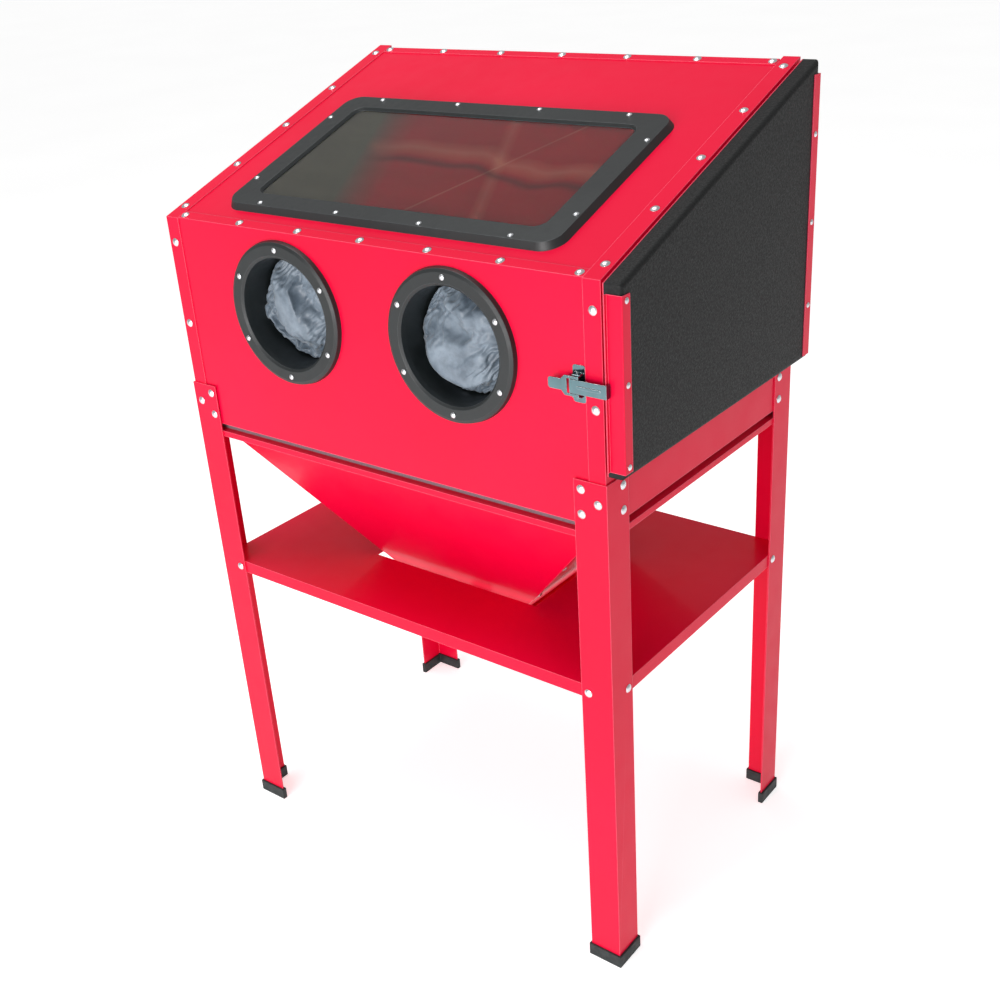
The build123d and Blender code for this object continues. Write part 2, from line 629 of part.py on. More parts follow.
def latch():
    """Base with two ears, a lever over them and a hook plate that reaches the door's lip."""
    back = -panel_y
    ear_z = 15.0
    base = block((latch_x - 10, latch_x + 10), (back - sheet, back), (latch_z - 26.5, latch_z + 26.5))
    base = fillet(base.edges().filter_by(Axis.Y), 4)
    for way in (-1, 1):
        z = sorted((latch_z + way * ear_z, latch_z + way * (ear_z + 1.5)))
        ear = block((latch_x - 7, latch_x + 8), (back - 12, back), z)
        ear = fillet(ear.edges().filter_by(Axis.Z).sort_by(Axis.Y)[:2], 4)
        base += ear
    base -= rod((*latch_pivot, latch_z - 30), (*latch_pivot, latch_z + 30), latch_pin + 0.05)

    # the lever: a tab to the left, a window for the hook's root, cheeks on the pivot
    plate_y = back - 12.0
    lever = block((342, 368), (plate_y - 1.5, plate_y), (latch_z - 8, latch_z + 8))
    lever = fillet(lever.edges().filter_by(Axis.Y).sort_by(Axis.X)[:2], 4)
    shoulder = block((364, 391), (plate_y - 1.5, plate_y), (latch_z - 14.2, latch_z + 14.2))
    shoulder = chamfer(shoulder.edges().filter_by(Axis.Y).sort_by(Axis.X)[:2], 5)
    lever += shoulder
    for way in (-1, 1):
        z = sorted((latch_z + way * 12.5, latch_z + way * 14.2))
        lever += block((374, 391), (plate_y - 1.5, back - 4.5), z)
    lever -= block((372, 400), (plate_y - 2, plate_y + 1), (latch_z - 10.5, latch_z + 10.5))
    lever -= rod((*latch_pivot, latch_z - 30), (*latch_pivot, latch_z + 30), latch_pin + 0.05)
    lever -= rod((*hook_pivot, latch_z - 30), (*hook_pivot, latch_z + 30), latch_pin)

    # the hook plate: an eye on its pin, a ribbed plate and a tip behind the door's lip
    eye = rod((*hook_pivot, latch_z - 9.7), (*hook_pivot, latch_z + 9.7), 3.4)
    plate = block((377.5, 435.0), (plate_y - 1.6, plate_y - 0.1), (latch_z - 9.7, latch_z + 9.7))
    plate += block((376.5, 381.5), (plate_y - 1.6, hook_pivot[1]), (latch_z - 9.7, latch_z + 9.7))
    rib = block((388.0, 426.0), (plate_y - 2.8, plate_y - 1.0), (latch_z - 1.8, latch_z + 1.8))
    plate += fillet(rib.edges().filter_by(Axis.Y), 1.7)
    plate += block((432.2, 435.0), (plate_y - 1.6, -(face_y + strip_sheet) - 1.0),
                   (latch_z - 9.7, latch_z + 9.7))
    hook = plate + eye
    hook -= rod((*hook_pivot, latch_z - 30), (*hook_pivot, latch_z + 30), latch_pin + 0.05)
    pins = {}
    for name, (x, y), reach in (("latch_lever_pin", latch_pivot, 18.5), ("latch_hook_pin", hook_pivot, 14.2)):
        pins[name] = rod((x, y, latch_z - reach), (x, y, latch_z + reach), latch_pin)
    return {"latch_base": base, "latch_lever": lever, "latch_hook": hook, **pins}


# ---------------------------------------------------------------- inside: grate, lamp, gun, pick-up
outlet_x, outlet_z = -230.0, 1180.0
inlet_x, inlet_z = 280.0, 880.0
gun_x, gun_y, gun_z = -330.0, 120.0, 1040.0
grate_sheet = 3.0
grate_rows, grate_columns = 5, 9
grate_pitch_x, grate_pitch_y = 90.0, 102.0
grate_slot_x, grate_slot_y = 38.0, 42.0      # half sizes of a slot
lamp_s = 470.0           # the lamp's place along the slope, behind the window
lamp_x, lamp_half, lamp_deep, lamp_wall = 160.0, 32.0, 34.0, 4.0


def inside():
    """Work grate, lamp, dust outlet, air inlet and media pick-up."""
    grate_low = body_low + sheet
    grate_high = grate_low + grate_sheet
    grate = block((-side_x + 4, side_x - 4), (-panel_y + 4, back_panel_y - 4), (grate_low, grate_high))
    slots = []
    for row in range(grate_rows):
        for column in range(grate_columns):
            x = (column - (grate_columns - 1) / 2) * grate_pitch_x
            y = (row - (grate_rows - 1) / 2) * grate_pitch_y - 4
            slots.append(block((x - grate_slot_x, x + grate_slot_x), (y - grate_slot_y, y + grate_slot_y),
                               (grate_low - 1, grate_high + 1)))
    grate -= slots

    lamp_top = -2 * sheet
    lamp_low = lamp_top - lamp_deep
    housing = top_block((-lamp_x, lamp_x), (lamp_s - lamp_half, lamp_s + lamp_half), (lamp_low, lamp_top))
    hollow_x = lamp_x - lamp_wall
    hollow_s = lamp_half - lamp_wall
    housing -= top_block((-hollow_x, hollow_x), (lamp_s - hollow_s, lamp_s + hollow_s),
                         (lamp_low - 1, lamp_top - lamp_wall))
    lens_x = hollow_x - 0.3
    lens_s = hollow_s - 0.3
    lens = top_block((-lens_x, lens_x), (lamp_s - lens_s, lamp_s + lens_s), (lamp_low, lamp_low + lamp_wall))

    collar_start = back_panel_y
    collar = rod((outlet_x, collar_start, outlet_z), (outlet_x, collar_start + port_collar_length, outlet_z),
                 port_collar_radius)
    collar += rod((outlet_x, collar_start, outlet_z), (outlet_x, collar_start + 2.0, outlet_z),
                  port_collar_radius + 14)
    collar -= rod((outlet_x, collar_start - 1, outlet_z), (outlet_x, collar_start + 70, outlet_z),
                  port_collar_radius - 2.0)

    nipple_plane = Plane(origin=(inlet_x, back_panel_y, inlet_z), z_dir=(0, 1, 0)).location
    nipple = nipple_plane * extrude(RegularPolygon(11, 6), amount=8)
    nipple += nipple_plane * (Pos(0, 0, 17) * Cylinder(6.6, 18))
    nipple += nipple_plane * (Pos(0, 0, -8) * Cylinder(8, 16))
    nipple -= nipple_plane * (Pos(0, 0, 5) * Cylinder(4.2, 60))

    # the pick-up tube lies up the hopper's right sheet on two welded tabs
    tube_radius, tab = 10.0, 2.0
    lean = atan2(half_sizes(700)[0] - half_sizes(500)[0], 200)
    away = Vector(-cos(lean), 0, sin(lean))
    low_end = Vector(half_sizes(490)[0], 0, 490) + away * (tube_radius + tab)
    high_end = Vector(half_sizes(740)[0], 0, 740) + away * (tube_radius + tab)
    pickup = rod(tuple(low_end), tuple(high_end), tube_radius)
    for share in (0.25, 0.8):
        middle = low_end + (high_end - low_end) * share - away * (tube_radius + tab)
        lie = Plane(origin=middle, x_dir=(0, 1, 0), z_dir=away).location
        pickup += lie * (Pos(0, 0, tab / 2 + 0.6) * Box(44, 16, tab + 1.2))
    pickup -= rod(tuple(low_end + (low_end - high_end) * 0.01), tuple(high_end + (high_end - low_end) * 0.01),
                  tube_radius - 2.0)
    return {"work_grate": grate, "lamp_housing": housing, "lamp_lens": lens,
            "dust_outlet_collar": collar, "air_inlet": nipple, "media_pickup_tube": pickup}


def gun():
    """Blast gun hanging on a wall hook, its nozzle down and its trigger under the grip."""
    x, y, z = gun_x, gun_y, gun_z
    barrel = rod((x, y, z - 70), (x, y, z + 40), 17.0)
    barrel += rod((x, y, z - 88), (x, y, z - 70), 12.5)
    grip = block((x - 12, x + 12), (y + 10, y + 105), (z + 2, z + 34))
    grip = fillet(grip.edges().filter_by(Axis.Y), 9)
    gun_body = barrel + grip
    gun_body += rod((x, y + 100, z + 18), (x, y + 118, z + 18), 7.5)
    gun_body -= rod((x, y, z - 89), (x, y, z + 20), 6.1)
    gun_body -= block((x - 4.5, x + 4.5), (y + 20, y + 60), (z - 1, z + 9))
    nozzle = rod((x, y, z - 118), (x, y, z - 60), 6.0) - rod((x, y, z - 119), (x, y, z - 59), 3.0)

    pivot = (y + 30, z + 4.5)
    blade = block((x - 3.5, x + 3.5), (y + 26, y + 34), (z - 6, z + 8))
    blade += block((x - 7, x + 7), (y + 26, y + 86), (z - 10, z - 6))
    blade = fillet(blade.edges().filter_by(Axis.Z).sort_by(Axis.Y)[-2:], 5)
    blade -= rod((x - 30, *pivot), (x + 30, *pivot), 1.55)
    pin = rod((x - 13.5, *pivot), (x + 13.5, *pivot), 1.5)
    gun_body -= rod((x - 30, *pivot), (x + 30, *pivot), 1.5)

    wall = -(side_x - sheet)
    hook_z = z + 60
    hook = block((wall, wall + 2), (y - 20, y + 20), (hook_z - 30, hook_z + 30))
    hook += rod((wall, y, hook_z), (x + 26, y, hook_z), 4.0)
    hook += rod((x + 22, y, hook_z), (x + 22, y, hook_z + 22), 4.0)
    eye = block((x - 3, x + 3), (y - 10, y + 10), (z + 38, hook_z + 12))
    eye -= rod((x - 5, y, hook_z - 2), (x + 5, y, hook_z - 2), 6.0)
    return {"gun_body": gun_body + eye, "gun_nozzle": nozzle, "gun_trigger": blade,
            "gun_trigger_pin": pin, "gun_hook": hook}


# ---------------------------------------------------------------- assembly and export
def fasteners():
    """Bolts and screws, grouped where they are identical."""
    bolt = domed_bolt(bolt_head, bolt_rise, bolt_shank, 9.0)
    long_screw = domed_bolt(screw_head, screw_rise, screw_shank, 13.0)
    screw = domed_bolt(screw_head, screw_rise, screw_shank, 4.0)
    return {"frame_bolts": fasten(bolt_places, bolt),
            "panel_screws": fasten(window_places + ring_places, long_screw),
            "hopper_screws": fasten(hopper_places, screw),
            "door_screws": fasten(door_places, screw)}


for section in (body, hopper, clean_out, stand, window, arm_ports, door, latch, inside, gun, fasteners):
    nodes.update(section())

bolted = ["left_side_panel", "right_side_frame", "front_panel", "back_panel", "window_panel", "shelf"]
bolted += [name for name in nodes if name.startswith("leg_")]
for name in bolted:
    nodes[name] = drill(nodes[name], bolt_places, bolt_hole)
nodes["hopper_left"] = drill(nodes["hopper_left"], hopper_places, screw_hole, 5.0)
nodes["hopper_front"] = mirror(nodes["hopper_back"], about=Plane.XZ)
nodes["hopper_right"] = mirror(nodes["hopper_left"], about=Plane.YZ)
for name in ("window_frame", "window_panel"):
    nodes[name] = drill(nodes[name], window_places, screw_hole, 26.0)
for name in ("arm_ring_left", "arm_ring_right", "front_panel"):
    nodes[name] = drill(nodes[name], ring_places, screw_hole, 26.0)
for name in ("door_shell", "door_latch_angle", "door_hinge_strip"):
    nodes[name] = drill(nodes[name], door_places, screw_hole)

for name, shape in nodes.items():
    export_step(Pos(shift_x, shift_y, 0) * shape, f"parts/{name}.step")
print(len(nodes), "nodes; shift", round(shift_x, 3), round(shift_y, 3))
print("hinge", round(hinge_x + shift_x, 3), round(hinge_y + shift_y, 3))
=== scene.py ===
import json
import math

import bpy
from mathutils import Matrix, Vector, noise


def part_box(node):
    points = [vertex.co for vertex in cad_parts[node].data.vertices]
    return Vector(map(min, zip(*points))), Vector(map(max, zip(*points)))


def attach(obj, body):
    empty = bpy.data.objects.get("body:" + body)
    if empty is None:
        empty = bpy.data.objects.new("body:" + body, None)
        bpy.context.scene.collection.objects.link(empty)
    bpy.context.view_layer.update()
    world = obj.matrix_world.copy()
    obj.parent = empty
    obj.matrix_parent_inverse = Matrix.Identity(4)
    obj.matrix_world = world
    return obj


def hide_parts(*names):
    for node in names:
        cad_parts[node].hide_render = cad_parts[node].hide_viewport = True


# Looks of the sandblast cabinet: materials for the CAD parts, two cloth gloves, the screws through
# the hopper's rim, the floor, the lights and the camera. The front is -Y, the door is on +X and the
# floor is z = 0. Lengths are in metres, and values marked with mm are in millimetres.
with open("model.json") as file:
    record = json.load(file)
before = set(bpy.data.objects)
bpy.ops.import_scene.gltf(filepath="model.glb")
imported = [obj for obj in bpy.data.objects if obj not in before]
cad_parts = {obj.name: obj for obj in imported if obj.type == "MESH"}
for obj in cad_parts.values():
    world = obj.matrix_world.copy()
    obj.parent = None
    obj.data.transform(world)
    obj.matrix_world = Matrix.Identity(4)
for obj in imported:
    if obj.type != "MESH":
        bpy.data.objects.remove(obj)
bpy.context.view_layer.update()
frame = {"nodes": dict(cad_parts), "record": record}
nodes = frame["nodes"]
record = frame["record"]
scene = bpy.context.scene
scene.view_settings.view_transform = "Standard"
mm = 0.001


# ------------------------------------------------------------------ small helpers
def make_object(name, points, faces, smooth=True):
    """Mesh object from points and faces, in the row frame."""
    mesh = bpy.data.meshes.new(name)
    mesh.from_pydata(points, [], faces)
    mesh.validate()
    if smooth:
        mesh.shade_smooth()
    else:
        mesh.shade_flat()
    obj = bpy.data.objects.new(name, mesh)
    scene.collection.objects.link(obj)
    return obj


def grid_faces(rows, columns, closed):
    """Quads between the rows of a grid of points; closed joins the last column to the first."""
    faces = []
    spans = columns if closed else columns - 1
    for row in range(rows - 1):
        for column in range(spans):
            right = (column + 1) % columns
            faces.append((row * columns + column, row * columns + right,
                          (row + 1) * columns + right, (row + 1) * columns + column))
    return faces


def apply_modifiers(obj):
    """The object's mesh with its modifiers applied."""
    depsgraph = bpy.context.evaluated_depsgraph_get()
    baked = bpy.data.meshes.new_from_object(obj.evaluated_get(depsgraph))
    obj.modifiers.clear()
    obj.data = baked
    obj.data.shade_smooth()


# ------------------------------------------------------------------ materials
class Shader:
    """A material under construction: its node tree and the Principled shader in it."""

    def __init__(self, name):
        self.material = bpy.data.materials.new(name)
        self.material.use_nodes = True
        self.tree = self.material.node_tree
        self.bsdf = self.tree.nodes["Principled BSDF"]
        self.place = self.add("TexCoord").outputs["Object"]

    def add(self, kind, **inputs):
        """A node of this kind with its inputs set or linked."""
        made = self.tree.nodes.new("ShaderNode" + kind)
        for key, value in inputs.items():
            self.put(made.inputs[key.replace("_", " ")], value)
        return made

    def put(self, socket, value):
        """Links a socket to an output, or sets its value."""
        if isinstance(value, bpy.types.NodeSocket):
            self.tree.links.new(value, socket)
        else:
            socket.default_value = value

    def set(self, **inputs):
        """Sets or links inputs of the Principled shader."""
        for key, value in inputs.items():
            self.put(self.bsdf.inputs[key.replace("_", " ")], value)

    def noise(self, scale, detail=3.0, roughness=0.5, stretch=(1, 1, 1)):
        """Noise over the object's own coordinates, in cells per metre."""
        place = self.place
        if stretch != (1, 1, 1):
            mapping = self.add("Mapping", Vector=place)
            mapping.inputs["Scale"].default_value = stretch
            place = mapping.outputs["Vector"]
        made = self.add("TexNoise", Vector=place, Scale=scale, Detail=detail, Roughness=roughness)
        return made.outputs["Fac"]

    def cells(self, scale, feature="F1"):
        """Distances in a Voronoi pattern."""
        made = self.add("TexVoronoi", Vector=self.place, Scale=scale)
        made.feature = feature
        return made.outputs["Distance"]

    def remap(self, value, low, high, start=0.3, end=0.7):
        """Maps a factor from start..end to low..high."""
        made = self.add("MapRange", Value=value)
        made.inputs["From Min"].default_value = start
        made.inputs["From Max"].default_value = end
        made.inputs["To Min"].default_value = low
        made.inputs["To Max"].default_value = high
        return made.outputs["Result"]

    def mix(self, factor, first, second):
        """Colour between two colours."""
        made = self.tree.nodes.new("ShaderNodeMix")
        made.data_type = "RGBA"
        self.put(made.inputs["Factor"], factor)
        self.put(made.inputs[6], first)
        self.put(made.inputs[7], second)
        return made.outputs[2]

    def sum(self, first, second, share=1.0):
        """first + second * share."""
        made = self.tree.nodes.new("ShaderNodeMath")
        made.operation = "MULTIPLY_ADD"
        self.put(made.inputs[0], second)
        self.put(made.inputs[1], share)
        self.put(made.inputs[2], first)
        return made.outputs[0]

    def ridge(self, value, centre, reach):
        """1 where value is centre, falling to 0 at centre +- reach."""
        away = self.tree.nodes.new("ShaderNodeMath")
        away.operation = "SUBTRACT"
        self.put(away.inputs[0], value)
        self.put(away.inputs[1], centre)
        size = self.tree.nodes.new("ShaderNodeMath")
        size.operation = "ABSOLUTE"
        self.put(size.inputs[0], away.outputs[0])
        return self.remap(size.outputs[0], 1, 0, 0, reach)

    def times(self, first, second):
        """first * second."""
        made = self.tree.nodes.new("ShaderNodeMath")
        made.operation = "MULTIPLY"
        self.put(made.inputs[0], first)
        self.put(made.inputs[1], second)
        return made.outputs[0]

    def bump(self, height, depth_mm, strength=1.0, under=None):
        """Bump of that height in millimetres."""
        made = self.add("Bump", Height=height, Strength=strength, Distance=depth_mm * mm)
        if under is not None:
            self.put(made.inputs["Normal"], under)
        return made.outputs["Normal"]

    def rounded(self, radius_mm):
        """Normal with its sharp edges rounded, and how much of an edge each point is."""
        bevel = self.tree.nodes.new("ShaderNodeBevel")
        bevel.samples = 6
        flat_cosine, sharp_cosine = 0.995, 0.80
        bevel.inputs["Radius"].default_value = radius_mm * mm
        flat = self.add("NewGeometry").outputs["Normal"]
        along = self.tree.nodes.new("ShaderNodeVectorMath")
        along.operation = "DOT_PRODUCT"
        self.put(along.inputs[0], bevel.outputs["Normal"])
        self.put(along.inputs[1], flat)
        edge = self.remap(along.outputs["Value"], 1.0, 0.0, sharp_cosine, flat_cosine)
        return bevel.outputs["Normal"], edge


def rgb(red, green, blue):
    """Linear colour from sRGB values of 0 to 255."""
    def linear(value):
        value /= 255
        return value / 12.92 if value <= 0.04045 else ((value + 0.055) / 1.055) ** 2.4
    return (linear(red), linear(green), linear(blue), 1.0)


def powder_coat():
    """Glossy red powder coat with orange peel and painted highlights along its folds and edges."""
    shader = Shader("red_powder_coat")
    normal, edge = shader.rounded(1.6)
    patches = shader.remap(shader.noise(2.2, 4), 0, 1)
    body = shader.mix(patches, rgb(214, 0, 48), rgb(224, 2, 56))
    # painted highlight: the folds and sharp edges are lightened to a pale pink
    body = shader.mix(edge, body, rgb(255, 120, 145))
    peel = shader.noise(620, 2)
    normal = shader.bump(peel, 0.012, under=normal)
    shader.set(Base_Color=body, Normal=normal,
               Roughness=shader.remap(shader.noise(24, 4), 0.34, 0.44),
               Specular_IOR_Level=0.1, Coat_Weight=0.14, Coat_Roughness=0.10)
    return shader.material


def haircell_shell():
    """Black moulded shell with a fine haircell grain."""
    shader = Shader("black_textured_shell")
    normal, _ = shader.rounded(1.5)
    grain = shader.sum(shader.cells(520), shader.noise(900, 3), 0.8)
    tone = shader.remap(shader.noise(420, 4, 0.7), 0, 1, 0.35, 0.68)
    body = shader.mix(tone, rgb(4, 5, 5), rgb(18, 20, 21))
    normal = shader.bump(grain, 0.30, under=normal)
    shader.set(Base_Color=body, Normal=normal, Specular_IOR_Level=0.32,
               Roughness=shader.remap(shader.noise(300, 3), 0.50, 0.72))
    return shader.material


def satin_moulding():
    """Satin black plastic of the window frame and the arm rings, with painted grey highlights along
    its edges.
    """
    shader = Shader("black_moulding")
    normal, edge = shader.rounded(1.4)
    tone = shader.remap(shader.noise(7, 4), 0, 1)
    body = shader.mix(tone, rgb(18, 22, 23), rgb(26, 31, 32))
    # painted highlight: the sharp edges are lightened to grey
    body = shader.mix(edge, body, rgb(84, 90, 93))
    normal = shader.bump(shader.noise(1100, 3), 0.05, under=normal)
    shader.set(Base_Color=body, Normal=normal,
               Roughness=shader.remap(shader.noise(60, 4), 0.38, 0.52))
    return shader.material


def boot_rubber():
    """Matte black rubber with dusty patches."""
    shader = Shader("foot_rubber")
    dust = shader.remap(shader.noise(55, 5, 0.7), 0, 0.5, 0.5, 0.8)
    body = shader.mix(dust, rgb(24, 32, 33), rgb(66, 76, 76))
    shader.set(Base_Color=body, Normal=shader.bump(shader.noise(800, 3), 0.06),
               Roughness=shader.remap(shader.noise(90, 3), 0.55, 0.75))
    return shader.material


def cell_foam():
    """Compressed closed-cell foam."""
    shader = Shader("foam")
    cells = shader.cells(900)
    body = shader.mix(shader.remap(cells, 0, 1, 0.0, 0.8), rgb(150, 128, 136), rgb(116, 98, 106))
    shader.set(Base_Color=body, Normal=shader.bump(cells, 0.35),
               Roughness=shader.remap(cells, 0.80, 0.95))
    return shader.material


def metal(name, colour, low, high, streaks, depth_mm):
    """Plated or plain metal with fine streaks, a varying polish and painted highlights on its edges.
    """
    shader = Shader(name)
    scratches_per_metre, dull_share = 240, 0.82
    fine = shader.noise(scratches_per_metre, 4, 0.6, streaks)
    tone = shader.remap(shader.noise(60, 3), 0, 1)
    darker = tuple(channel * dull_share for channel in colour[:3]) + (1.0,)
    body = shader.mix(tone, darker, colour)
    normal, edge = shader.rounded(0.5)
    # painted highlight: the sharp edges are whitened
    body = shader.mix(edge, body, rgb(236, 242, 244))
    shader.set(Base_Color=body, Metallic=1.0, Roughness=shader.remap(fine, low, high),
               Normal=shader.bump(fine, depth_mm, under=normal))
    return shader.material


def plastic(name, first, second, low, high):
    """Plain moulded plastic or ceramic."""
    shader = Shader(name)
    body = shader.mix(shader.remap(shader.noise(30, 4), 0, 1), first, second)
    shader.set(Base_Color=body, Normal=shader.bump(shader.noise(900, 3), 0.04),
               Roughness=shader.remap(shader.noise(80, 3), low, high))
    return shader.material


def sight_glass():
    """Clear safety glass with faint smears."""
    shader = Shader("window_glass")
    smear = shader.noise(9, 4, 0.6, (1, 3, 1))
    body = shader.mix(shader.remap(smear, 0, 1), rgb(214, 222, 214), rgb(236, 240, 236))
    shader.set(Base_Color=body, Roughness=shader.remap(smear, 0.01, 0.07),
               Transmission_Weight=1.0, IOR=1.46)
    return shader.material


def tear_off_film():
    """Thin protective film with painted light: a painted olive-grey reflection of the room on its
    left, clear over the red inside on the rest with that red painted into it, a painted pale band of
    reflected light with a painted shade line under it, and creased, with painted highlights along the
    crease and along a streak of reflected light.
    """
    shader = Shader("clear_film")
    low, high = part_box("window_film")
    wide, tall = high[0] - low[0], high[2] - low[2]
    axes = shader.tree.nodes.new("ShaderNodeSeparateXYZ")
    shader.put(axes.inputs[0], shader.place)
    x, z = axes.outputs["X"], axes.outputs["Z"]

    # the painted reflection of the room ends softly on a steep line, about a third of the way across
    reflection_share, reflection_softness, reflection_lean = 0.28, 0.07, 0.19
    lean = reflection_lean * wide / tall
    reflection_end = low[0] + reflection_share * wide + lean * (low[2] + high[2]) / 2
    across = shader.sum(x, z, lean)
    clear = shader.remap(across, 0, 1, reflection_end - reflection_softness * wide,
                         reflection_end + reflection_softness * wide)

    # a painted pale wavy band of reflected light, with a painted shade line under it
    waviness, drift_lift = 0.10, 0.05
    drift = shader.sum(z, shader.noise(3.1, 2, 0.5, (1, 0.3, 0.3)), waviness)
    middle = (low[2] + high[2]) / 2 + drift_lift
    band = shader.ridge(drift, middle + 0.10 * tall, 0.085 * tall)
    shade = shader.ridge(drift, middle - 0.02 * tall, 0.045 * tall)

    # painted highlights along a fine crease that falls to the left, and a broader painted streak of
    # reflected light that falls to the right
    crease_slope, crease_shift, crease_reach = -1.9, 0.20, 0.004
    crease = shader.ridge(shader.sum(x, z, crease_slope),
                          (low[0] + high[0]) / 2 + crease_slope * middle + crease_shift, crease_reach)
    streak_slope, streak_reach = 1.2, 0.016
    streak = shader.ridge(shader.sum(x, z, streak_slope),
                          low[0] + 0.52 * wide + streak_slope * (middle + 0.3 * tall), streak_reach)

    # painted reflection: olive-grey where the room is reflected on the left, and the red of the
    # inside painted in over the rest
    body = shader.mix(clear, rgb(118, 114, 98), rgb(206, 36, 52))
    light = shader.sum(shader.times(band, 0.70), shader.times(crease, 0.55))
    light = shader.sum(light, streak, 0.45)
    # painted highlights: the band, the crease and the streak lighten the colour towards pale peach,
    # over the clear part only
    body = shader.mix(shader.times(light, clear), body, rgb(236, 150, 128))
    # painted shade: the line under the band is darkened to deep red, over the clear part only
    body = shader.mix(shader.times(shader.times(shade, clear), 0.6), body, rgb(88, 16, 24))
    see_through = shader.remap(clear, 0.25, 0.45, 0, 1)
    shader.set(Base_Color=body, Roughness=shader.remap(shader.noise(6, 2), 0.05, 0.16),
               Transmission_Weight=see_through, IOR=1.3)
    return shader.material


def glove_fabric():
    """Rubber-coated cloth: satin sheen over a fine weave."""
    shader = Shader("glove_rubber")
    threads = 260
    warp = shader.add("TexWave", Vector=shader.place, Scale=threads, Distortion=1.2, Detail=1)
    weft = shader.add("TexWave", Vector=shader.place, Scale=threads, Distortion=1.2, Detail=1)
    weft.bands_direction = "Z"
    weave = shader.sum(warp.outputs["Fac"], weft.outputs["Fac"])
    worn = shader.remap(shader.noise(28, 5, 0.65), 0, 1, 0.38, 0.66)
    body = shader.mix(worn, rgb(84, 97, 109), rgb(124, 137, 149))
    normal = shader.bump(weave, 0.05)
    normal = shader.bump(shader.noise(70, 3, 0.5), 0.2, under=normal)
    shader.set(Base_Color=body, Normal=normal, Roughness=shader.remap(worn, 0.36, 0.52, 0, 1),
               Sheen_Weight=0.35, Sheen_Roughness=0.4, Coat_Weight=0.15, Coat_Roughness=0.3)
    return shader.material


looks = {
    "red_powder_coat": powder_coat(),
    "black_textured_shell": haircell_shell(),
    "black_moulding": satin_moulding(),
    "foot_rubber": boot_rubber(),
    "foam": cell_foam(),
    "window_glass": sight_glass(),
    "clear_film": tear_off_film(),
    "zinc": metal("zinc", rgb(226, 228, 232), 0.22, 0.38, (1, 1, 1), 0.03),
    "chrome": metal("chrome", rgb(104, 130, 136), 0.10, 0.24, (1, 1, 12), 0.02),
    "steel": metal("steel", rgb(168, 170, 172), 0.34, 0.55, (8, 1, 1), 0.05),
    "glove_rubber": glove_fabric(),
    "lamp_white": plastic("lamp_white", rgb(222, 222, 216), rgb(236, 236, 230), 0.35, 0.5),
    "ceramic": plastic("ceramic", rgb(228, 224, 210), rgb(242, 238, 226), 0.3, 0.45),
    "grip_black": plastic("grip_black", rgb(30, 30, 32), rgb(44, 44, 47), 0.4, 0.6),
}

for sub_part in record["subparts"]:
    piece = nodes[sub_part["node"]]
    for place in piece.material_slots:
        place.material = looks[sub_part["material_slot"]]


# ------------------------------------------------------------------ gloves
def port_middle(hand):
    """Middle of an arm port, on the front panel's outer face."""
    low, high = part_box("arm_ring_" + hand)
    ring_thick = 10 * mm
    return Vector(((low[0] + high[0]) / 2, low[1] + ring_thick, (low[2] + high[2]) / 2))


def bunched_cloth(hand, lean, seed):
    """Disc of spare cloth across the collar, buckled by a cloth simulation.

    The cloth is pinned round its rim inside the collar and grows, so that it folds. Its first
    shape leans the folds along a diagonal."""
    count = 56
    radius, rim_depth = 83 * mm, 43 * mm
    crown, fold_height, wobble_height = 18, 16, 10  # mm
    folds_across, sway = 6.0, 1.6
    port = port_middle(hand)
    points = []
    for row in range(count):
        for column in range(count):
            u = 2 * column / (count - 1) - 1
            v = 2 * row / (count - 1) - 1
            x = u * math.sqrt(1 - v * v / 2)
            z = v * math.sqrt(1 - u * u / 2)
            inside = max(0.0, 1 - x * x - z * z)
            across = x * math.sin(lean) + z * math.cos(lean)
            along = x * math.cos(lean) - z * math.sin(lean)
            fold = math.sin(folds_across * across + sway * math.sin(2.0 * along + seed) + seed)
            wobble = noise.noise(Vector((2.0 * x + seed, 2.0 * z, seed)))
            loose = inside ** 0.6
            bulge = crown * inside + loose * (fold_height * fold + wobble_height * wobble)
            points.append(port + Vector((radius * x, rim_depth - bulge * mm, radius * z)))
    cloth = make_object("glove_cloth_" + hand, points, grid_faces(count, count, False))
    rim = cloth.vertex_groups.new(name="rim")
    ends = (0, count - 1)
    edge = [row * count + column for row in range(count) for column in range(count)
            if row in ends or column in ends]
    rim.add(edge, 1.0, "REPLACE")
    buckle(cloth)
    # folds that come too near the port's mouth are pressed back to a quarter of their excess
    nearest, kept_share = port.y + 9 * mm, 0.25
    for vertex in cloth.data.vertices:
        if vertex.co.y < nearest:
            vertex.co.y = nearest - kept_share * (nearest - vertex.co.y)
    return cloth


def buckle(cloth):
    """Lets pinned cloth grow into folds and keeps the result."""
    steps = 30
    sim = cloth.modifiers.new("cloth", "CLOTH")
    fabric = sim.settings
    fabric.quality = 5
    fabric.mass = 0.3
    fabric.tension_stiffness = 15
    fabric.compression_stiffness = 15
    fabric.bending_stiffness = 9
    fabric.air_damping = 2
    fabric.shrink_min = -0.29
    fabric.vertex_group_mass = "rim"
    fabric.effector_weights.gravity = 0.3
    sim.collision_settings.use_self_collision = True
    sim.collision_settings.self_distance_min = 2 * mm
    sim.collision_settings.collision_quality = 2
    for step in range(1, steps + 1):
        scene.frame_set(step)
    apply_modifiers(cloth)
    scene.frame_set(1)


